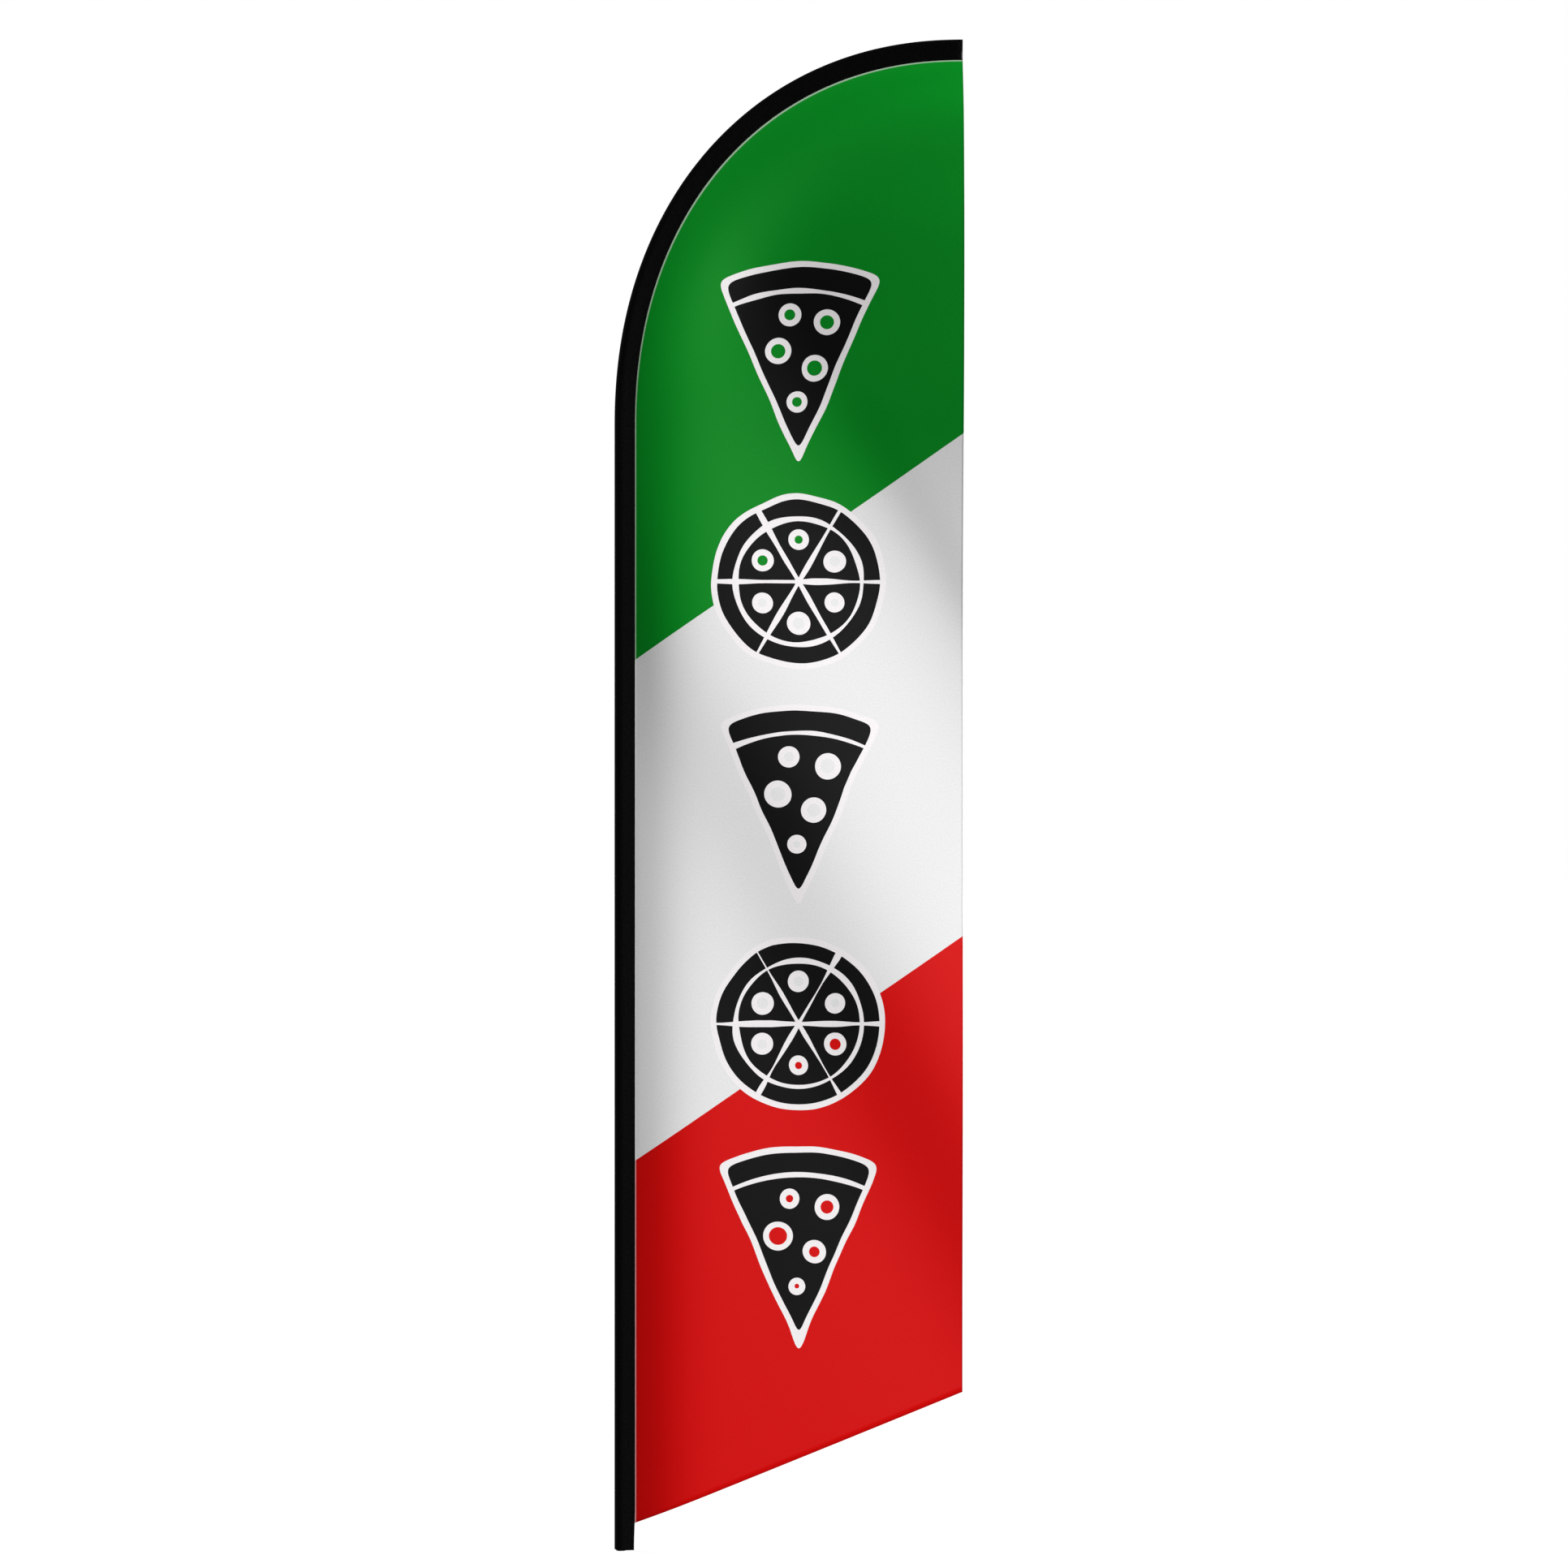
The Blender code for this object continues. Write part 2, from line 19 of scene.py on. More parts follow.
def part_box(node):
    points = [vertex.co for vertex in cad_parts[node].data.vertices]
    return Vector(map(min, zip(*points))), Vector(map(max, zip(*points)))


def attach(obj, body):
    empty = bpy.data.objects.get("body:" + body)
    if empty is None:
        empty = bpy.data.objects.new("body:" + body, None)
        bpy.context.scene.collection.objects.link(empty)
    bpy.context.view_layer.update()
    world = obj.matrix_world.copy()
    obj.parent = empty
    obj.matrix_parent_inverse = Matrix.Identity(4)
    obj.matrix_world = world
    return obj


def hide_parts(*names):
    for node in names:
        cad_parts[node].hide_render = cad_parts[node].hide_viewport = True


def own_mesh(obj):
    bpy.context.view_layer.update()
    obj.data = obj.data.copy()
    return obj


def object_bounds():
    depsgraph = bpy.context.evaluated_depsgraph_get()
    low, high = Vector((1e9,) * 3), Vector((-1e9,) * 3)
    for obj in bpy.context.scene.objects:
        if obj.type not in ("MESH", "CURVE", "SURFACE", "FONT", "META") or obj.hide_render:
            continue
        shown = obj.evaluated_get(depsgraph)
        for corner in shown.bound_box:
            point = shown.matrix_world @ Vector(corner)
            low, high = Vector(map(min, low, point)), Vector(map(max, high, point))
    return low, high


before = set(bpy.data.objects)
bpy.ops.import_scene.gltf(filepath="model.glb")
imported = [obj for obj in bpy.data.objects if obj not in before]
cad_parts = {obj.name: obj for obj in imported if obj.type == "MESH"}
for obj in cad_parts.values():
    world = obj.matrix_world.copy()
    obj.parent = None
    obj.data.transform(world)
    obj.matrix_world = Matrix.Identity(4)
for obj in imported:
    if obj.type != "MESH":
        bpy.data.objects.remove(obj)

cad_low, cad_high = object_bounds()
print("CAD box, metres:", [round(v, 4) for v in (*cad_low, *cad_high)])


# %% [markdown]
# ## The camera
# A flag this tall is pictured from straight in front, level with its middle and from far away, so that its
# long straight edges stay parallel. A long lens at about nine and a half metres does that. A short lens
# close by would make the foot and the tip lean away.

# %% Camera
def linear(hex_code):
    """An sRGB hex colour as the linear RGBA that shaders mix."""
    channels = [int(hex_code[i:i + 2], 16) / 255 for i in (1, 3, 5)]
    return (*[c / 12.92 if c <= 0.04045 else ((c + 0.055) / 1.055) ** 2.4 for c in channels], 1)


VIEW_WIDTH = 3.4316           # metres across the view at the flag
VIEW_X, VIEW_Z = 0.357, 1.677   # the point in the flag's middle that the camera faces
lens = bpy.data.cameras.new("long_lens")
lens.lens = 100
lens.sensor_width = 36
camera = bpy.data.objects.new("camera", lens)
distance = VIEW_WIDTH * lens.lens / lens.sensor_width
camera.location = (VIEW_X, -distance, VIEW_Z)
camera.rotation_euler = (pi / 2, 0, 0)
bpy.context.scene.collection.objects.link(camera)
bpy.context.scene.camera = camera
bpy.context.scene.view_settings.view_transform = "Standard"
print("camera stands", round(distance, 2), "m in front of the flag")

# %% [markdown]
# ## The flag's outline
# The sleeve's outer edge goes straight up and then bends over in an arch, which is a quarter of a
# superellipse: a shape between an ellipse and a rounded rectangle. A bent rod takes nearly this line. The
# arch is described by an angle that is 0 where the bend starts and a quarter turn at the free edge, so that
# the sleeve, the cloth and the seam can all be placed from one function.

# %% Outline of the flag, from the CAD model's own pieces
FREE_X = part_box("flag_panel")[1][0]
OUTER_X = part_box("sleeve_straight")[0][0]
FLAG_WIDTH = FREE_X - OUTER_X
ARCH_START = 2.460            # height at which the sleeve starts to bend
ARCH_RISE = cad_high.z - ARCH_START
ARCH_POWER = 2.14             # 2 would be an ellipse
SLEEVE_WIDTH = 0.045          # outer edge to seam, laid flat
SEAM_X = OUTER_X + SLEEVE_WIDTH


def arch_point(angle):
    """Point (x, z) of the sleeve's outer edge."""
    across = max(cos(angle), 0) ** (2 / ARCH_POWER)
    up = max(sin(angle), 0) ** (2 / ARCH_POWER)
    return Vector((FREE_X - FLAG_WIDTH * across, ARCH_START + ARCH_RISE * up))


def arch_inward(angle):
    """Unit direction (x, z) from the outer edge towards the cloth."""
    edge = arch_point(angle)
    across = max((FREE_X - edge.x) / FLAG_WIDTH, 0) ** (ARCH_POWER - 1) / FLAG_WIDTH
    up = max((edge.y - ARCH_START) / ARCH_RISE, 0) ** (ARCH_POWER - 1) / ARCH_RISE
    return Vector((across, -up)).normalized()


print("flag", round(FLAG_WIDTH, 3), "m wide, top at", round(arch_point(pi / 2).y, 3), "m")

# %% [markdown]
# ## The lie of the cloth
# The pole and the rods hold the cloth along the seam, and its free edge hangs loose. So it swells forward
# beside the seam, and long soft folds run down across it, away from the pole. Cloth simulation could find
# such folds, but they would come out somewhere else each time the wind changed. Here they are wanted in
# known places. What the eye reads as a fold is the cloth's slope, which decides how much light it catches.
# So each fold is given as a bump in slope, and its depth is that bump added up from one side, which the
# error function does. It has the same values as the solid that collides.

# %% Depth of the cloth
FOLD_TILT = radians(30)       # the folds run down and away from the pole, this far from upright
CLOTH_LEAN = 0.164            # slope across the cloth between its folds
# Each fold: its place across, its half width, the slope it adds, and how that changes along the fold.
FOLDS = (
    (1.04, 0.156, -0.128, -0.20),
    (1.70, 0.057, -0.088, -0.70),
    (2.54, 1.080, 0.229, -1.01),
)
FOLD_MIDDLE = 1.2             # place along the folds where each has the slope given
TURN_BACK = (1.61, 0.172, -0.299)   # where the upper cloth turns away: place, half width, slope
BELLY, BELLY_REACH = 0.0268, 0.0976   # how far the cloth swells forward beside its seam
ROOF, ROOF_PLACE, ROOF_REACH = 0.0263, 0.123, 0.101   # how it falls back under the arch
ROOF_FROM, ROOF_RISE = 2.467, 0.56   # the height where that begins, and over how much it grows
ROOF_BELLY = 0.70             # share of the belly that is left under the arch
SETTLE = 0.01                 # the folds fade out over about this distance from the seam
SETTLE_ROOF = 0.10            # and over this much more under the arch


def ease(value):
    """A smooth step from 0 to 1."""
    value = min(max(value, 0), 1)
    return value * value * (3 - 2 * value)


def swell(x, z):
    """Depth that the folds add up to at (x, z)."""
    across = x * cos(FOLD_TILT) + z * sin(FOLD_TILT)
    along = z * cos(FOLD_TILT) - x * sin(FOLD_TILT)
    depth = CLOTH_LEAN * across
    for place, width, slope, change in FOLDS:
        here = slope * (1 + change * (along - FOLD_MIDDLE))
        depth += here * width * sqrt(pi) / 2 * erf((across - place) / width)
    place, width, slope = TURN_BACK
    part = (across - place) / width
    depth += slope * width / 2 * (part + part * erf(part) + exp(-part * part) / sqrt(pi))
    return depth / cos(FOLD_TILT)


def from_seam(x, z):
    """Distance from the seam, in metres, which is 0 or less inside the sleeve."""
    span, rise = FLAG_WIDTH - SLEEVE_WIDTH, ARCH_RISE - SLEEVE_WIDTH
    across = max(FREE_X - x, 0) / span
    up = max(z - ARCH_START, 0) / rise
    return (1 - (across ** ARCH_POWER + up ** ARCH_POWER) ** (1 / ARCH_POWER)) * span


def billow(x, z):
    """How far the cloth lies behind its seam at (x, z)."""
    away, x = max(from_seam(x, z), 0), max(x, SEAM_X)
    span, rise = FLAG_WIDTH - SLEEVE_WIDTH, ARCH_RISE - SLEEVE_WIDTH
    up = min(max(z - ARCH_START, 0) / rise, 1)
    seam_x = min(FREE_X - span * (1 - up ** ARCH_POWER) ** (1 / ARCH_POWER), x)
    under_arch = ease((z - ROOF_FROM) / ROOF_RISE)
    belly = BELLY * erf(away / BELLY_REACH) * (1 - (1 - ROOF_BELLY) * under_arch)
    roof = ROOF * (erf((away - ROOF_PLACE) / ROOF_REACH) + erf(ROOF_PLACE / ROOF_REACH))
    settled = 1 - exp(-away / (SETTLE + SETTLE_ROOF * under_arch))
    return settled * (swell(x, z) - swell(seam_x, z)) - belly + roof * under_arch


print("depth of the cloth at its middle:", round(billow(0.4, 1.6) * 1000, 1), "mm")

# %% [markdown]
# ## Laying a grid out as cloth
# Every cloth part starts as a flat grid, like cloth on a cutting table, and each of its points is then
# carried to its place on the flag. The grid keeps a UV map named cloth, in metres on the uncut cloth, so
# that a print or a weave follows the folds.

# %% From a flat grid to a placed cloth
def lay_cloth(columns, rows, place):
    """A grid whose points go where place(u, v) says, with u and v from 0 to 1.

    Place gives the point and where it was on the flat cloth: ((x, y, z), (metres across, metres along)).
    """
    shape = bmesh.new()
    bmesh.ops.create_grid(shape, x_segments=columns, y_segments=rows, size=1)
    chart = shape.loops.layers.uv.new("cloth")
    cut = {}
    for vertex in shape.verts:
        vertex.co, cut[vertex] = place((vertex.co.x + 1) / 2, (vertex.co.y + 1) / 2)
    for face in shape.faces:
        for loop in face.loops:
            loop[chart].uv = cut[loop.vert]
    return shape


def make_piece(name, shape, finish, body, smooth=True):
    """Make an object of a bmesh. It rides on a body of the frame."""
    mesh = bpy.data.meshes.new(name)
    shape.to_mesh(mesh)
    shape.free()
    if smooth:
        mesh.shade_smooth()
    mesh.materials.append(finish)
    piece = bpy.data.objects.new(name, mesh)
    bpy.context.scene.collection.objects.link(piece)
    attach(piece, body)
    print(name, len(mesh.vertices), "points")
    return piece


def chart_as_it_lies(shape):
    """Give a small upright piece its cloth map by looking straight at it."""
    chart = shape.loops.layers.uv.new("cloth")
    for face in shape.faces:
        for loop in face.loops:
            loop[chart].uv = (loop.vert.co.x + loop.vert.co.y, loop.vert.co.z)


def thicken(piece, thickness, offset):
    """Give cloth its thickness: half on each side for offset 0, all behind its faces for -1."""
    wall = piece.modifiers.new("thickness", "SOLIDIFY")
    wall.thickness = thickness
    wall.offset = offset
    wall.use_even_offset = True


# %% [markdown]
# ## Building materials
# Each finish is a node tree: a Principled shader with a pattern in its colour, its roughness and a little
# bump. One small function adds a node with its settings and links, which keeps the trees short to read.

# %% Material helpers
def add_node(tree, kind, links=(), output=0, **settings):
    """Add a node, set its properties, link or fill its inputs, and return one of its outputs."""
    node = tree.nodes.new(kind)
    for name, value in settings.items():
        setattr(node, name, value)
    for socket, value in links.items() if isinstance(links, dict) else enumerate(links):
        if isinstance(value, bpy.types.NodeSocket):
            tree.links.new(value, node.inputs[socket])
        elif value is not None:
            node.inputs[socket].default_value = value
    return node.outputs[output] if node.outputs else None


def start_finish(name, **sockets):
    """A new material with its Principled shader set. Returns the material, its node tree and the shader."""
    finish = bpy.data.materials.new(name)
    finish.use_nodes = True
    shader = finish.node_tree.nodes["Principled BSDF"]
    for socket, value in sockets.items():
        shader.inputs[socket.replace("_", " ")].default_value = value
    return finish, finish.node_tree, shader


# %% [markdown]
# ## The print
# Flags like this are made by dye sublimation: hot ink goes into white knitted polyester, so the print has
# no thickness and the cloth's own soft gloss lies over all the colours alike. The design is three slanted
# bands with a column of five pictograms, slices and whole rounds in turn, in black with a pale outline. An
# image could hold it, but drawn with maths it stays sharp at any distance. Each shape is a signed distance:
# below zero is inside, and the outline is the strip just outside.

# %% Places of the printed shapes, in metres on the cloth
BAND_SLOPE = 0.6864           # the bands rise by this much for each metre across
GREEN_FROM = 1.9270           # where each edge would meet the line x = 0
RED_UP_TO = 0.8313
MOTIF_X = 0.389
MOTIF_LOWEST = 0.670
MOTIF_PITCH = 0.483
MOTIF_COUNT = 5
OUTLINE = 0.013               # width of the pale outline
GROOVE = 0.0055               # half the width of a pale line inside a slice
CRUST = 0.050                 # width of a slice's crust
SLICE_RADIUS = 0.405
SLICE_HALF_ANGLE = radians(23.5)
TIP_ROUNDING = 0.03
CORNER_ROUNDING = 0.035
TOPPINGS = (                  # places from the slice's tip, and radii
    ((-0.004, 0.112, 0), 0.021),
    ((0.034, 0.186, 0), 0.027),
    ((-0.045, 0.222, 0), 0.030),
    ((0.062, 0.284, 0), 0.028),
    ((-0.020, 0.303, 0), 0.024),
)
ROUND_RADIUS = 0.178
ROUND_FINER = 0.8             # a round's crust is this share of a slice's, and its cuts of a slice's lines
SECTOR = pi / 6               # half of one of its six pieces
ROUND_TOPPING = (0.092 * cos(SECTOR), 0.092 * sin(SECTOR), 0)
ROUND_TOPPING_RADIUS = 0.0235
WANDER = 0.003                # how far the edges of the shapes stray
print(MOTIF_COUNT, "pictograms, the lowest", MOTIF_LOWEST, "m up and the rest", MOTIF_PITCH, "m apart")

# %% Knitted polyester: bands, pictograms and knit
printed, tree, shader = start_finish("knitted_polyester_print", Specular_IOR_Level=0.11)
cloth = add_node(tree, "ShaderNodeUVMap", uv_map="cloth")
across = add_node(tree, "ShaderNodeSeparateXYZ", [cloth])
up = across.node.outputs["Y"]

level = add_node(tree, "ShaderNodeMath", [across, -BAND_SLOPE, up], operation="MULTIPLY_ADD")
is_green = add_node(tree, "ShaderNodeMath", [level, GREEN_FROM], operation="GREATER_THAN")
is_red = add_node(tree, "ShaderNodeMath", [level, RED_UP_TO], operation="LESS_THAN")
bands = add_node(tree, "ShaderNodeMix", {0: is_green, 6: linear("#e5e5e5"), 7: linear("#04841f")}, output=2,
                 data_type="RGBA")
bands = add_node(tree, "ShaderNodeMix", {0: is_red, 6: bands, 7: linear("#d00808")}, output=2,
                 data_type="RGBA")

# The column repeats one cell, so each point asks which cell it is in and where in that cell it lies.
raised = add_node(tree, "ShaderNodeMath", [up, MOTIF_LOWEST], operation="SUBTRACT")
cell = add_node(tree, "ShaderNodeMath", [raised, MOTIF_PITCH], operation="DIVIDE")
cell = add_node(tree, "ShaderNodeMath", [cell], operation="ROUND")
cell = add_node(tree, "ShaderNodeMath", [cell, MOTIF_COUNT - 1], operation="MINIMUM")
cell = add_node(tree, "ShaderNodeMath", [cell, 0], operation="MAXIMUM")
y = add_node(tree, "ShaderNodeMath", [cell, -MOTIF_PITCH, raised], operation="MULTIPLY_ADD")
x = add_node(tree, "ShaderNodeMath", [across, MOTIF_X], operation="SUBTRACT")
other_x = add_node(tree, "ShaderNodeMath", [x, -1], operation="MULTIPLY")
side = add_node(tree, "ShaderNodeMath", [x, other_x, TIP_ROUNDING], operation="SMOOTH_MAX")
is_round = add_node(tree, "ShaderNodeMath", [cell, 2], operation="MODULO")
print("bands and cells take", len(tree.nodes), "nodes")


# %% Cutting one shape out of another
def cut_out(shape, hollow):
    """The shape without the hollow, both as signed distances."""
    solid = add_node(tree, "ShaderNodeMath", [hollow, -1], operation="MULTIPLY")
    return add_node(tree, "ShaderNodeMath", [shape, solid], operation="MAXIMUM")


def cut_ring(shape, distance, radius, half_width):
    """Cut a thin ring out of the shape, that far from where the distance is measured."""
    line = add_node(tree, "ShaderNodeMath", [distance, radius], operation="SUBTRACT")
    line = add_node(tree, "ShaderNodeMath", [line], operation="ABSOLUTE")
    line = add_node(tree, "ShaderNodeMath", [line, half_width], operation="SUBTRACT")
    return cut_out(shape, line)


def cut_spot(shape, place, centre, radius):
    """Cut a round spot out of the shape, as for a topping."""
    spot = add_node(tree, "ShaderNodeVectorMath", [place, centre], output=1, operation="DISTANCE")
    spot = add_node(tree, "ShaderNodeMath", [spot, radius], operation="SUBTRACT")
    return cut_out(shape, spot)


# %% A slice: a wedge cut from a round, with its crust and five toppings
from_tip = add_node(tree, "ShaderNodeMath", [y, SLICE_RADIUS / 2], operation="ADD")
in_slice = add_node(tree, "ShaderNodeCombineXYZ", [side, from_tip])
reach = add_node(tree, "ShaderNodeVectorMath", [in_slice], output=1, operation="LENGTH")
beyond = add_node(tree, "ShaderNodeMath", [reach, SLICE_RADIUS], operation="SUBTRACT")
beside = add_node(tree, "ShaderNodeVectorMath",
                  [in_slice, (cos(SLICE_HALF_ANGLE), -sin(SLICE_HALF_ANGLE), 0)], output=1,
                  operation="DOT_PRODUCT")
slice_shape = add_node(tree, "ShaderNodeMath", [beyond, beside, CORNER_ROUNDING], operation="SMOOTH_MAX")
slice_shape = cut_ring(slice_shape, reach, SLICE_RADIUS - CRUST, GROOVE)
on_slice = add_node(tree, "ShaderNodeCombineXYZ", [x, from_tip])
for topping, size in TOPPINGS:
    slice_shape = cut_spot(slice_shape, on_slice, topping, size)
print("slice with", len(TOPPINGS), "toppings")

# %% A whole round: a disc with its crust, six cuts and six toppings
in_round = add_node(tree, "ShaderNodeCombineXYZ", [x, y])
radius = add_node(tree, "ShaderNodeVectorMath", [in_round], output=1, operation="LENGTH")
round_shape = add_node(tree, "ShaderNodeMath", [radius, ROUND_RADIUS], operation="SUBTRACT")
round_shape = cut_ring(round_shape, radius, ROUND_RADIUS - CRUST * ROUND_FINER, GROOVE)

# Folding the angle back and forth lays all six pieces on one half of a piece, so one cut and one topping do.
turn = add_node(tree, "ShaderNodeMath", [y, x], operation="ARCTAN2")
turn = add_node(tree, "ShaderNodeMath", [turn, SECTOR], operation="PINGPONG")
folded = []
for wave in ("COSINE", "SINE"):
    share = add_node(tree, "ShaderNodeMath", [turn], operation=wave)
    folded.append(add_node(tree, "ShaderNodeMath", [share, radius], operation="MULTIPLY"))
cut_line = add_node(tree, "ShaderNodeMath", [folded[1], GROOVE * ROUND_FINER], operation="SUBTRACT")
round_shape = cut_out(round_shape, cut_line)
in_sector = add_node(tree, "ShaderNodeCombineXYZ", folded)
round_shape = cut_spot(round_shape, in_sector, ROUND_TOPPING, ROUND_TOPPING_RADIUS)
print("round of", round(ROUND_RADIUS * 2, 3), "m")

# %% Ink on the bands, and the knit under it
motif = add_node(tree, "ShaderNodeMix", {0: is_round, 2: slice_shape, 3: round_shape}, data_type="FLOAT")
# A hand-cut look: the edges stray a little, over about 10 cm.
wander = add_node(tree, "ShaderNodeTexNoise", {"Vector": cloth, "Scale": 11, "Detail": 0})
wander = add_node(tree, "ShaderNodeMapRange", [wander, 0.25, 0.75, -WANDER, WANDER])
motif = add_node(tree, "ShaderNodeMath", [motif, wander], operation="ADD")
in_outline = add_node(tree, "ShaderNodeMath", [motif, OUTLINE], operation="LESS_THAN")
in_ink = add_node(tree, "ShaderNodeMath", [motif, 0], operation="LESS_THAN")
inked = add_node(tree, "ShaderNodeMix", {0: in_outline, 6: bands, 7: linear("#f0eced")}, output=2,
                 data_type="RGBA")
inked = add_node(tree, "ShaderNodeMix", {0: in_ink, 6: inked, 7: linear("#0a0a0a")}, output=2,
                 data_type="RGBA")

# A painted highlight: in a thin line next to the seam the print is mixed towards white, for the light that
# the cloth's rolled edge catches there.
seam = add_node(tree, "ShaderNodeAttribute", attribute_name="from_seam", output=2)
SEAM_HIGHLIGHT_FROM, SEAM_HIGHLIGHT_TO, SEAM_HIGHLIGHT_SHARE = 0.0022, 0.0032, 0.34
seam_highlight = add_node(tree, "ShaderNodeMapRange", [seam, SEAM_HIGHLIGHT_FROM, SEAM_HIGHLIGHT_TO, SEAM_HIGHLIGHT_SHARE, 0])
# This mix towards near-white paints the highlight along the seam.
inked = add_node(tree, "ShaderNodeMix", {0: seam_highlight, 6: inked, 7: linear("#f4f4f4")}, output=2,
                 data_type="RGBA")

# Ink takes unevenly on the yarn: a soft mottle of about 4 mm.
mottle = add_node(tree, "ShaderNodeTexNoise",
                  {"Vector": cloth, "Scale": 260, "Detail": 2, "Roughness": 0.6})
shade = add_node(tree, "ShaderNodeMapRange", [mottle, 0.3, 0.7, 0.955, 1.035])
inked = add_node(tree, "ShaderNodeVectorMath", {0: inked, "Scale": shade}, operation="SCALE")
tree.links.new(inked, shader.inputs["Base Color"])
gloss = add_node(tree, "ShaderNodeMapRange", [mottle, 0.3, 0.7, 0.39, 0.45])
tree.links.new(gloss, shader.inputs["Roughness"])

# The real loops are about 0.4 mm apart. They are drawn at 1.6 mm, and still show only from close by.
LOOP = 0.0016
waves = []
for way in (across, up):
    turns = add_node(tree, "ShaderNodeMath", [way, 2 * pi / LOOP], operation="MULTIPLY")
    waves.append(add_node(tree, "ShaderNodeMath", [turns], operation="SINE"))
knit = add_node(tree, "ShaderNodeMath", waves, operation="MULTIPLY")
knit = add_node(tree, "ShaderNodeMath", [mottle, 0.8, knit], operation="MULTIPLY_ADD")
bump = add_node(tree, "ShaderNodeBump", {"Strength": 0.25, "Distance": 0.0001, "Height": knit})
tree.links.new(bump, shader.inputs["Normal"])
print("print has", len(tree.nodes), "nodes")

# %% [markdown]
# ## The printed panel
# The panel is cut straight at the free edge, slanted at the bottom and arched at the top, where its edge is
# sewn between the two layers of the sleeve. Its grid has a column for each angle of the arch and rows from
# the slanted bottom up to the seam. The columns crowd together at both sides and the rows at the top, so
# that the swelling beside the seam and the curl of the cut edge get enough points.

# %% Panel
CORNER_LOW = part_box("flag_panel")[0][2]
CORNER_FREE = 0.3446          # height of the bottom's other corner, at the free edge
TUCK = 0.003                  # how far the cloth's edge reaches into the seam
CURL, CURL_WIDTH = 0.0006, 0.003   # how far the cut edge curls forward, and over what width
PANEL_THICKNESS = 0.0006
ROW_CROWDING = 1.5            # 1 would space the rows evenly; more crowds them at the top
slope = (CORNER_FREE - CORNER_LOW) / (FREE_X - SEAM_X)


def panel_column(u):
    """Bottom and top heights and x of the panel's column at u."""
    angle = pi / 2 * sin(pi / 2 * u)
    top = arch_point(angle) + arch_inward(angle) * (SLEEVE_WIDTH - TUCK)
    return top.x, CORNER_LOW + slope * (top.x - SEAM_X), top.y


def place_panel(u, v):
    """Place of the panel's cloth, and where it was on the uncut cloth."""
    x, low, high = panel_column(u)
    z = low + (high - low) * (1 - (1 - v) ** ROW_CROWDING)
    curl = CURL * max(1 - (FREE_X - x) / CURL_WIDTH, 0) ** 2
    return (x, billow(x, z) - curl, z), (x, z)


shape = lay_cloth(96, 300, place_panel)
panel = make_piece("printed_panel", shape, printed, "pole")
edge_distance = panel.data.attributes.new("from_seam", "FLOAT", "POINT")
for point, vertex in zip(edge_distance.data, panel.data.vertices):
    point.value = max(from_seam(vertex.co.x, vertex.co.z), 0)
thicken(panel, PANEL_THICKNESS, 0)
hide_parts("flag_panel")

# %% [markdown]
# ## The sleeve's cloth
# The sleeve is plain woven polyester, dyed black in the yarn. It takes very little light, with a soft sheen
# where it is seen edge-on. Its weave is a simple over and under, so two sines crossed give the right pillow
# shapes.

# %% Black woven polyester and webbing
def woven_black(name, thread, colour, sheen, bump_depth):
    """A black plain weave, with threads that many metres apart, on the cloth map of the piece."""
    finish, tree, shader = start_finish(name, Specular_IOR_Level=0.0, Roughness=0.6, Sheen_Weight=sheen,
                                        Sheen_Roughness=0.3)
    cloth = add_node(tree, "ShaderNodeUVMap", uv_map="cloth")
    across = add_node(tree, "ShaderNodeSeparateXYZ", [cloth])
    threads = []
    for way in (across, across.node.outputs["Y"]):
        turns = add_node(tree, "ShaderNodeMath", [way, pi / thread], operation="MULTIPLY")
        threads.append(add_node(tree, "ShaderNodeMath", [turns], operation="SINE"))
    weave = add_node(tree, "ShaderNodeMath", threads, operation="MULTIPLY")
    fibres = add_node(tree, "ShaderNodeTexNoise", {"Vector": cloth, "Scale": 1 / (6 * thread), "Detail": 3})
    tone = add_node(tree, "ShaderNodeMapRange", [fibres, 0.3, 0.7, 0.75, 1.3])
    dyed = add_node(tree, "ShaderNodeVectorMath", {0: linear(colour)[:3], "Scale": tone}, operation="SCALE")
    tree.links.new(dyed, shader.inputs["Base Color"])
    bump = add_node(tree, "ShaderNodeBump", {"Strength": 0.5, "Distance": bump_depth, "Height": weave})
    tree.links.new(bump, shader.inputs["Normal"])
    return finish


# Real threads are about 0.35 mm apart in the sleeve and 1.2 mm in webbing. The sleeve's are drawn at 0.9 mm,
# and still show only from close by.
sleeve_cloth = woven_black("black_woven_polyester", 0.0009, "#080808", 0.05, 0.00012)
webbing = woven_black("black_polyester_webbing", 0.0012, "#101011", 0.02, 0.0004)
thread_black = woven_black("black_sewing_thread", 0.0005, "#131314", 0.05, 0.0001)
print("made", sleeve_cloth.name, webbing.name, "and", thread_black.name)

# %% [markdown]
# ## The sleeve
# The real sleeve is one strip about 11 cm wide, folded over the pole. Its two edges meet at the seam, with
# the printed cloth sewn between them. So it is a grid too: across the grid the cloth comes in from the
# front seam, goes round the pole and back to the rear seam, and along the grid it climbs the pole and
# follows the arch. It narrows towards the tip with the rods inside.

# %% Section of the sleeve
SLEEVE_RADIUS = 0.0140
TIP_RADIUS = 0.0065
RADIUS_EASING = 1.5           # how late in the arch the sleeve narrows from one to the other
SLEEVE_THICKNESS = 0.0005
SEAM_FLAT = 0.004             # the flat strip at the seam, where the two layers are sewn together
SEAM_HALF = 0.0009            # half the seam's thickness
SIDE_DIP = 0.0006             # how far each side dips in between the pole and the seam
ARC_STEPS, SIDE_STEPS = 9, 6
HALF_STEPS = ARC_STEPS + SIDE_STEPS + 1


def sleeve_radius(angle):
    """Radius of the sleeve's round part, which narrows along the arch."""
    return SLEEVE_RADIUS + (TIP_RADIUS - SLEEVE_RADIUS) * sin(angle) ** RADIUS_EASING


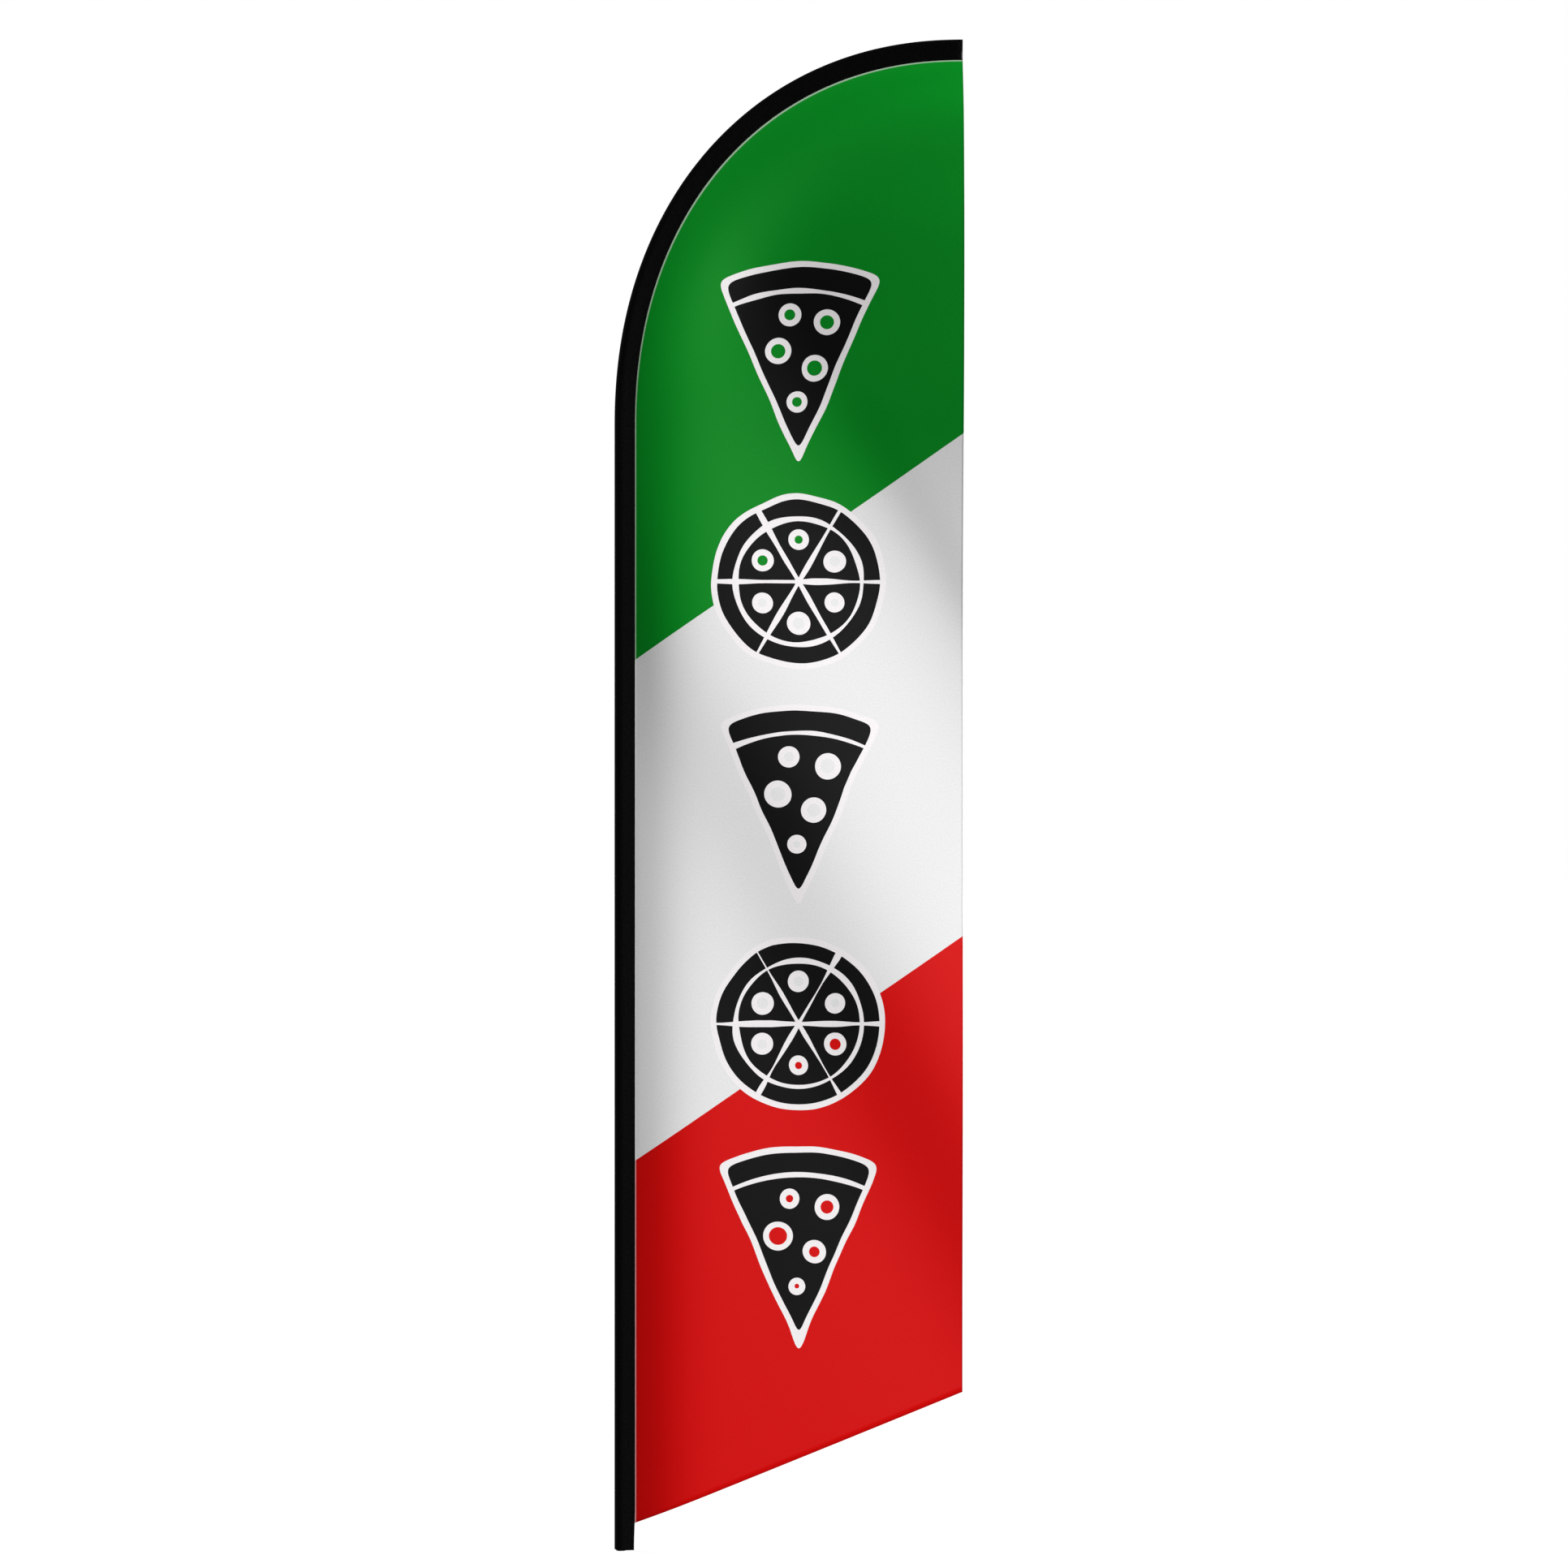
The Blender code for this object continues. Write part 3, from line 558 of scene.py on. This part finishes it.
def sleeve_section(step, radius, width):
    """Point of the section that many steps from the outer edge.

    It is given as (distance in from the outer edge, half depth, length of cloth so far).
    """
    turn_in = width - SEAM_FLAT
    reach = hypot(turn_in - radius, SEAM_HALF)
    touch = atan2(SEAM_HALF, turn_in - radius) + acos(radius / reach)
    arc, side = (pi - touch) * radius, sqrt(reach ** 2 - radius ** 2)
    if step <= ARC_STEPS:
        part = step / ARC_STEPS
        angle = pi - (pi - touch) * part
        return radius + radius * cos(angle), radius * sin(angle), arc * part
    if step <= ARC_STEPS + SIDE_STEPS:
        part = (step - ARC_STEPS) / SIDE_STEPS
        start = Vector((radius + radius * cos(touch), radius * sin(touch)))
        place = start.lerp(Vector((turn_in, SEAM_HALF)), part)
        return place.x, place.y - SIDE_DIP * sin(pi * part), arc + side * part
    part = step - ARC_STEPS - SIDE_STEPS
    return turn_in + SEAM_FLAT * part, SEAM_HALF, arc + side + SEAM_FLAT * part


# %% Sleeve
STRAIGHT_ROWS, ARCH_ROWS = 220, 110
ROWS = STRAIGHT_ROWS + ARCH_ROWS
FOOT_CROWDING = 1.25          # 1 would space the straight rows evenly; more crowds them at the foot
FOOT_NARROWER, FOOT_HEIGHT = 0.0022, 0.1   # the cuff is this much narrower, up to this height
SLACK = 0.0005                # depth of the ripples in the loose cloth beside the pole
SLACK_IN, SLACK_OUT = (0.020, 0.008), (0.003, 0.006)   # they begin past the pole and end before the seam
RIPPLES = (71, 137)           # in radians for each metre, so ripples about 9 and 5 cm long
SINK = 0.0030                 # how far the front sinks in at the panel's lower corner
SINK_IN, SINK_UP = (0.0385, 0.0050), (0.068, 0.024)   # its place and reach, inwards and upwards
HEM_ASLANT = 0.0032           # how far the foot's hem runs up at the outer edge
HEM_REACH = 0.02              # how far above the hem that still shifts the cloth
SKIN_HALF = 0.0007            # the two layers never come closer than this to the sleeve's middle
TIP_GAP = 0.0003              # room between the sleeve's end and the patch
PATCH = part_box("tip_patch")
arch_length = sum((arch_point(pi / 2 * i / 200) - arch_point(pi / 2 * (i - 1) / 200)).length
                  for i in range(1, 201))


def place_sleeve(u, v):
    """Place of the sleeve's cloth, and where it was on the uncut strip."""
    row = v * ROWS
    step = (1 - 2 * u) * HALF_STEPS
    face = -1 if step < 0 else 1
    if row <= STRAIGHT_ROWS:
        height = ARCH_START * (row / STRAIGHT_ROWS) ** FOOT_CROWDING
        edge, inward, angle = Vector((OUTER_X, height)), Vector((1, 0)), 0
        width = SLEEVE_WIDTH - FOOT_NARROWER * (1 - ease(height / FOOT_HEIGHT))
    else:
        angle = pi / 2 * (row - STRAIGHT_ROWS) / ARCH_ROWS
        edge, inward = arch_point(angle), arch_inward(angle)
        height = ARCH_START + arch_length * angle / (pi / 2)
        width = SLEEVE_WIDTH
    d, depth, length = sleeve_section(abs(step), sleeve_radius(angle), width)
    # Slack in the two layers between the pole and the seam.
    loose = ease((d - SLACK_IN[0]) / SLACK_IN[1]) * ease((width - SLACK_OUT[0] - d) / SLACK_OUT[1])
    depth -= SLACK * loose * (sin(height * RIPPLES[0] + face) + 0.6 * sin(height * RIPPLES[1] + 2 * face))
    # The cloth sinks in where the panel's corner ends.
    if face < 0:
        inwards, upwards = (d - SINK_IN[0]) / SINK_IN[1], (height - SINK_UP[0]) / SINK_UP[1]
        depth -= SINK * exp(-(inwards ** 2)) * exp(-(upwards ** 2))
    x, z = edge.x + inward.x * d, edge.y + inward.y * d
    # The hem at the foot was cut a little aslant.
    z += HEM_ASLANT * (1 - d / SLEEVE_WIDTH) * (1 - ease(height / HEM_REACH))
    return (min(x, PATCH[0][0] - TIP_GAP), face * max(depth, SKIN_HALF), z), (face * length, height)


shape = lay_cloth(2 * HALF_STEPS, ROWS, place_sleeve)
sleeve = make_piece("pole_sleeve", shape, sleeve_cloth, "pole")
thicken(sleeve, SLEEVE_THICKNESS, -1)
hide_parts("sleeve_cuff", "sleeve_straight", "sleeve_arch")

# %% [markdown]
# ## Stitching
# A lockstitch shows as a row of short thread bumps, one each 4 mm. Bump mapping would vanish where the
# cloth is seen edge-on, so each stitch is a small flattened ball of thread set along the path. The ball has
# only 20 faces, because there are well over a thousand of them.

# %% A row of stitches along a path
STITCH = Vector((0.0029, 0.0008, 0.0006))     # length, width and height of one stitch
STITCH_PITCH = 0.004


def sew(name, rows, finish):
    """Stitches in rows. A row lists (point, outward direction) for the middle of each stitch."""
    shape = bmesh.new()
    size = Matrix.Diagonal((*(STITCH / 2), 1))
    for row in rows:
        for i, (point, outward) in enumerate(row):
            along = (row[min(i + 1, len(row) - 1)][0] - row[max(i - 1, 0)][0]).normalized()
            over = outward.cross(along).normalized()
            turn = Matrix((along, over, along.cross(over))).transposed().to_4x4()
            place = Matrix.Translation(point) @ turn @ size
            bmesh.ops.create_icosphere(shape, subdivisions=1, radius=1, matrix=place)
    chart_as_it_lies(shape)
    return make_piece(name, shape, finish, "pole")


def sleeve_point(step, row):
    """Point and outward direction of the sleeve's skin, at any step round it and any row along it."""
    def at(s, r):
        return Vector(place_sleeve((1 - s / HALF_STEPS) / 2, r / ROWS)[0])
    near = 0.05               # steps or rows to the neighbours that give the directions
    here = at(step, row)
    round_it = at(min(step + near, HALF_STEPS), row) - at(max(step - near, -HALF_STEPS), row)
    along_it = at(step, min(row + near, ROWS)) - at(step, max(row - near, 0))
    outward = along_it.cross(round_it).normalized()
    return here, outward


# %% Seam, hem and join of the sleeve
SEAM_STEP = HALF_STEPS - 0.5
TURN_IN_STEP = HALF_STEPS - 1.2     # where a row across the sleeve stops, just short of the seam
SAMPLES = 4000                # places looked at along the whole seam, to space the stitches evenly
HEM_HEIGHT = 0.011
JOIN_ROW = STRAIGHT_ROWS + 7.5      # the arch's strip is sewn to the straight one here


def spaced(places):
    """Of places close together along a path, those a stitch apart."""
    row, walked = [places[0]], 0
    for (a, _), (b, outward) in zip(places, places[1:]):
        walked += (b - a).length
        if walked >= STITCH_PITCH:
            row.append((b, outward))
            walked = 0
    return row


def round_the_sleeve(row):
    """Stitches across the sleeve, from its front seam round the pole to its rear seam."""
    return spaced([sleeve_point(TURN_IN_STEP * (i / 150 - 1), row) for i in range(301)])


rows = []
sewn = range(20, SAMPLES - 10)      # all but the very foot and tip
for face in (-1, 1):
    rows.append(spaced([sleeve_point(face * SEAM_STEP, ROWS * i / SAMPLES) for i in sewn]))
rows.append(round_the_sleeve(STRAIGHT_ROWS * (HEM_HEIGHT / ARCH_START) ** (1 / FOOT_CROWDING)))
for aside in (-0.2, 0.2):
    rows.append(round_the_sleeve(JOIN_ROW + aside))
seam_thread = sew("sleeve_stitches", rows, thread_black)
print(sum(len(row) for row in rows), "stitches")

# %% [markdown]
# ## The end of the sleeve
# At the flag's free edge the sleeve ends in the air, and the tip of the last rod pushes against its inside
# all the time. Cloth alone would fray there, so a patch of webbing is sewn over the end. Its outline is the
# sleeve's own section, so a ring of points is carried onto that section and filled.

# %% Tip patch
shape = bmesh.new()
bmesh.ops.create_circle(shape, cap_ends=True, segments=2 * HALF_STEPS + 1, radius=1)
shape.verts.ensure_lookup_table()
middle_x = (PATCH[0][0] + PATCH[1][0]) / 2
outline = []
for i, vertex in enumerate(shape.verts):
    d, depth, _ = sleeve_section(abs(i - HALF_STEPS), TIP_RADIUS, SLEEVE_WIDTH)
    depth = max(depth, SEAM_HALF) * (-1 if i < HALF_STEPS else 1)
    vertex.co = (middle_x, depth, cad_high.z - d)
    outline.append(vertex.co.copy())
chart_as_it_lies(shape)
patch = make_piece("webbing_tip_patch", shape, webbing, "pole", smooth=False)
thicken(patch, PATCH[1][0] - PATCH[0][0], 0)
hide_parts("tip_patch")

# %% [markdown]
# ## The tension tab
# Inside the foot of the sleeve a short tab of webbing hooks over a peg on the pole's foot cap, which keeps
# the cloth from riding up the pole. The tab has one hole for its eyelet. A ring round the hole is grown
# outwards to the tab's straight sides, so that no cut is needed: the points of the hole lie on the rays to
# those of the outline.

# %% Tension tab
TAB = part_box("tension_tab")
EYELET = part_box("tab_eyelet")
HOLE_RADIUS = 0.0039
SIDE_POINTS = 8
eye_x, eye_z = (EYELET[0][0] + EYELET[1][0]) / 2, (EYELET[0][2] + EYELET[1][2]) / 2
corners = [Vector((TAB[i][0], TAB[j][2])) for i, j in ((1, 0), (1, 1), (0, 1), (0, 0))]
sides = zip(corners, corners[1:] + corners[:1])
outline = [a.lerp(b, i / SIDE_POINTS) for a, b in sides for i in range(SIDE_POINTS)]

shape = bmesh.new()
bmesh.ops.create_circle(shape, segments=len(outline), radius=HOLE_RADIUS)
shape.verts.ensure_lookup_table()
rim, rim_edges = list(shape.verts), list(shape.edges)
bmesh.ops.extrude_edge_only(shape, edges=rim_edges)
shape.verts.ensure_lookup_table()
for inner, outer in zip(rim, outline):
    grown = next(edge.other_vert(inner) for edge in inner.link_edges if edge.other_vert(inner) not in rim)
    ray = (outer - Vector((eye_x, eye_z))).normalized() * HOLE_RADIUS
    inner.co = (eye_x + ray.x, 0, eye_z + ray.y)
    grown.co = (outer.x, 0, outer.y)
chart_as_it_lies(shape)
tab = make_piece("webbing_tension_tab", shape, webbing, "pole", smooth=False)
thicken(tab, TAB[1][1] - TAB[0][1], 0)
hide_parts("tension_tab")

# %% [markdown]
# ## Metal, plastic, rubber and glass fibre
# Each hard part keeps the exact shape of the CAD model and only gets its finish. They all come from one
# recipe: a colour, and a fine noise that varies it, its roughness and its height a little. The noise is
# stretched along the way a part was worked, so a drawn tube has long lines along it and a moulded cap has
# an even grain.

# %% A finish with the marks of how the part was made
def worked_finish(name, colour, metallic, roughness, grain, stretch=(1, 1, 1), bump_depth=0.00002,
                  **sockets):
    """A finish with a grain that many metres wide, drawn out by stretch, and roughness from low to high."""
    finish, tree, shader = start_finish(name, Metallic=metallic, **sockets)
    place = add_node(tree, "ShaderNodeTexCoord", output=3)
    drawn = add_node(tree, "ShaderNodeVectorMath", [place, stretch], operation="MULTIPLY")
    marks = add_node(tree, "ShaderNodeTexNoise", {"Vector": drawn, "Scale": 1 / grain, "Detail": 3})
    tone = add_node(tree, "ShaderNodeMapRange", [marks, 0.3, 0.7, 0.90, 1.06])
    tinted = add_node(tree, "ShaderNodeVectorMath", {0: linear(colour)[:3], "Scale": tone},
                      operation="SCALE")
    tree.links.new(tinted, shader.inputs["Base Color"])
    dullness = add_node(tree, "ShaderNodeMapRange", [marks, 0.3, 0.7, *roughness])
    tree.links.new(dullness, shader.inputs["Roughness"])
    bump = add_node(tree, "ShaderNodeBump", {"Strength": 0.4, "Distance": bump_depth, "Height": marks})
    tree.links.new(bump, shader.inputs["Normal"])
    return finish


def give_finish(finish, *nodes):
    """Put the finish on pieces of the frame."""
    for name in nodes:
        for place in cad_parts[name].material_slots:
            place.material = finish
    print(finish.name, "on", ", ".join(nodes))


# %% Finishes of the hard parts
ALONG = (1, 1, 0.04)          # draws the grain out along the pole
zinc = worked_finish("zinc_plated_steel", "#b9bcc0", 1, (0.26, 0.40), 0.0008, bump_depth=0.00001)
give_finish(zinc, "spindle_hub", "spindle_shaft")
sprung = worked_finish("blued_spring_steel", "#6f7276", 1, (0.30, 0.42), 0.0006, ALONG)
give_finish(sprung, "retaining_ring")
nylon = worked_finish("moulded_black_nylon", "#1a1a1b", 0, (0.46, 0.58), 0.0012, Specular_IOR_Level=0.4)
give_finish(nylon, "thrust_washer", "foot_cap", "upper_bush", "rod_adapter")
bronze = worked_finish("sintered_bronze", "#8f6a3f", 1, (0.42, 0.60), 0.0004, bump_depth=0.00004)
give_finish(bronze, "lower_bush")
aluminium = worked_finish("drawn_anodised_aluminium", "#c6c8ca", 1, (0.28, 0.40), 0.0010, ALONG)
give_finish(aluminium, "pole_lower_tube", "pole_middle_tube", "pole_upper_tube")
nickel = worked_finish("nickel_plated_steel", "#c9c6c0", 1, (0.12, 0.22), 0.0010)
give_finish(nickel, "lower_snap_button", "upper_snap_button")
glass_fibre = worked_finish("pultruded_black_glass_fibre", "#141416", 0, (0.28, 0.42), 0.0008, ALONG,
                            Specular_IOR_Level=0.5)
give_finish(glass_fibre, "rod_lower", "rod_tip")
brass = worked_finish("lightly_polished_brass", "#c79a55", 1, (0.22, 0.34), 0.0008)
give_finish(brass, "rod_ferrule", "tab_eyelet")
rubber = worked_finish("black_rubber", "#161616", 0, (0.75, 0.90), 0.0010, Specular_IOR_Level=0.2)
give_finish(rubber, "tip_cap")

# %% [markdown]
# ## The leaf springs behind the snap buttons
# A strip of spring steel, bent like a hairpin, pushes each button out through the tubes. It has to close up
# when the button is pressed, but here it is made once, in one fixed shape, in the place of the CAD model's
# spring. A grid one face wide is carried along the hairpin, because a strip has the same width everywhere.

# %% Leaf springs
LEAF_THICKNESS = 0.0005
LEAF_RISE = 0.038             # from the button up to the bend
LEAF_BEND = 0.002             # radius of the bend
LEG_END = 0.004               # how far each leg goes on below the button's middle
BEND_STEPS = 12


def make_leaf(node):
    """Make the hairpin that stands for the node, in one fixed shape."""
    low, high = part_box(node)
    height = low[2] + LEG_END
    front, back = high[0] - LEAF_THICKNESS / 2, low[0] + LEAF_THICKNESS / 2
    hairpin = [(front, -LEG_END), (front, LEG_END)]
    for i in range(BEND_STEPS + 1):
        turn = pi * i / BEND_STEPS
        hairpin.append(((front + back) / 2 + LEAF_BEND * cos(turn), LEAF_RISE + LEAF_BEND * sin(turn)))
    hairpin += [(back, LEG_END), (back, -LEG_END)]

    def place_leaf(u, v):
        x, rise = hairpin[round(u * (len(hairpin) - 1))]
        return (x, low[1] + (high[1] - low[1]) * v, height + rise), (v, u)

    shape = lay_cloth(len(hairpin) - 1, 1, place_leaf)
    name = node.replace("button_spring", "leaf_spring")
    leaf = make_piece(name, shape, sprung, "pole")
    thicken(leaf, LEAF_THICKNESS, 0)
    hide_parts(node)
    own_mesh(leaf)


make_leaf("lower_button_spring")
make_leaf("upper_button_spring")

# %% [markdown]
# ## Lights and floor
# A flag is lit like a portrait. One large soft key light comes from the right and a little in front, so
# that the folds show as light and dark bands. A weak light from nearly straight in front and a dim even one
# from all around lift the dark sides, and another weak one from behind lights the back. A strong rim light
# from behind on the left grazes the black sleeve's outer face. The floor glows almost white near the pole's
# foot and fully white far away, so that it runs into the backdrop without an edge.

# %% Studio
def add_light(name, azimuth, elevation, strength, softness):
    """A distant light, with angles in degrees. Azimuth 0 is in front of the flag and 90 on its right."""
    lamp = bpy.data.lights.new(name, "SUN")
    lamp.energy = strength
    lamp.angle = radians(softness)
    thing = bpy.data.objects.new(name, lamp)
    a, e = radians(azimuth), radians(elevation)
    towards = Vector((sin(a) * cos(e), -cos(a) * cos(e), sin(e)))
    thing.rotation_euler = towards.to_track_quat("Z", "Y").to_euler()
    bpy.context.scene.collection.objects.link(thing)
    print(name, "light at", azimuth, "degrees")


add_light("key", 62, 20, 5.0, 24)
add_light("front_fill", 16, 4, 0.63, 10)
add_light("rim", -110, 25, 9.0, 30)
add_light("back_fill", 160, 20, 0.4, 60)

DIM = 0.05                    # strength of the even light, which the camera sees as a white backdrop
world = bpy.data.worlds.new("studio")
world.use_nodes = True
bpy.context.scene.world = world
tree = world.node_tree
tree.nodes.clear()
is_camera = add_node(tree, "ShaderNodeLightPath")
seen = add_node(tree, "ShaderNodeBackground", [(1, 1, 1, 1), 1.0])
lit = add_node(tree, "ShaderNodeBackground", [(1, 1, 1, 1), DIM])
both = add_node(tree, "ShaderNodeMixShader", [is_camera, lit, seen])
add_node(tree, "ShaderNodeOutputWorld", [both])

# %% Floor
NEAR_GLOW, FULL_GLOW = 0.94, 1.0
GLOW_FROM, GLOW_TO = 0.5, 4.0   # metres from the pole over which the floor turns fully white
FLOOR_RADIUS = 60
FLOOR_GAP = 0.0004            # the floor lies this far below the foot
paper, tree, shader = start_finish("white_paper_floor", Roughness=0.9, Specular_IOR_Level=0.0,
                                   Base_Color=(0.05, 0.05, 0.05, 1), Emission_Strength=1.0)
place = add_node(tree, "ShaderNodeTexCoord", output=3)
away = add_node(tree, "ShaderNodeVectorMath", [place], output=1, operation="LENGTH")
glow = add_node(tree, "ShaderNodeMapRange", [away, GLOW_FROM, GLOW_TO, NEAR_GLOW, FULL_GLOW])
tree.links.new(glow, shader.inputs["Emission Color"])

shape = bmesh.new()
bmesh.ops.create_circle(shape, cap_ends=True, segments=64, radius=FLOOR_RADIUS)
bmesh.ops.translate(shape, verts=shape.verts, vec=(0, 0, cad_low.z - FLOOR_GAP))
mesh = bpy.data.meshes.new("floor")
shape.to_mesh(mesh)
shape.free()
mesh.materials.append(paper)
floor = bpy.data.objects.new("floor", mesh)
floor.visible_diffuse = False
floor.visible_glossy = False
bpy.context.scene.collection.objects.link(floor)
print("floor of", FLOOR_RADIUS, "m")
